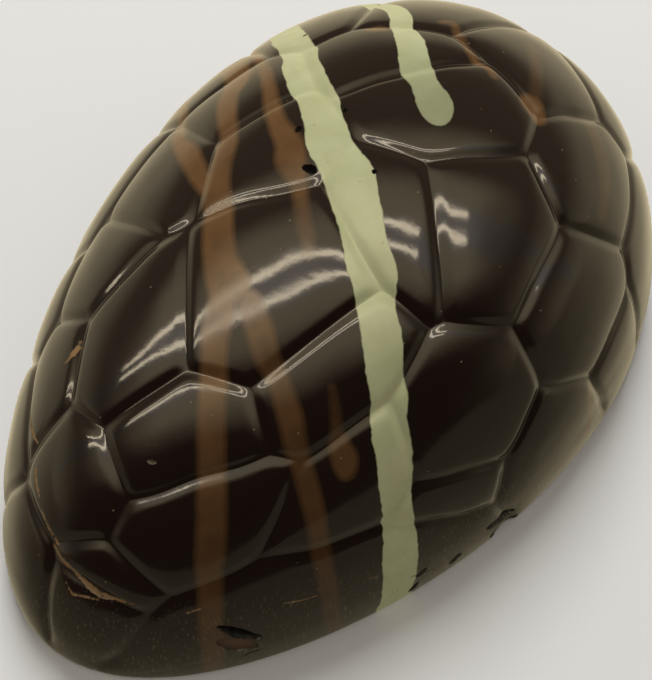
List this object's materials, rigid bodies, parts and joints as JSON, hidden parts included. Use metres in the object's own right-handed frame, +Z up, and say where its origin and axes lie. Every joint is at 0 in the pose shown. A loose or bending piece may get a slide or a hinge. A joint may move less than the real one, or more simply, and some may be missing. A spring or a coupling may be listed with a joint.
{
  "type": "chocolate egg half",
  "caption": "Half of a moulded dark chocolate egg lying on its flat cut side, its dome covered in cushion-shaped panels with grooves between them.",
  "frame": {"origin": "middle of the flat base's bounding box", "axes": "+X along the egg towards its big end, +Z up out of the flat base"},
  "size_m": [0.14, 0.0942, 0.0526],
  "materials": {
    "chocolate": "glossy dark chocolate with drizzled ivory and milk chocolate stripes"
  },
  "bodies": {
    "root": {"half_egg": "chocolate"}
  },
  "joints": []
}
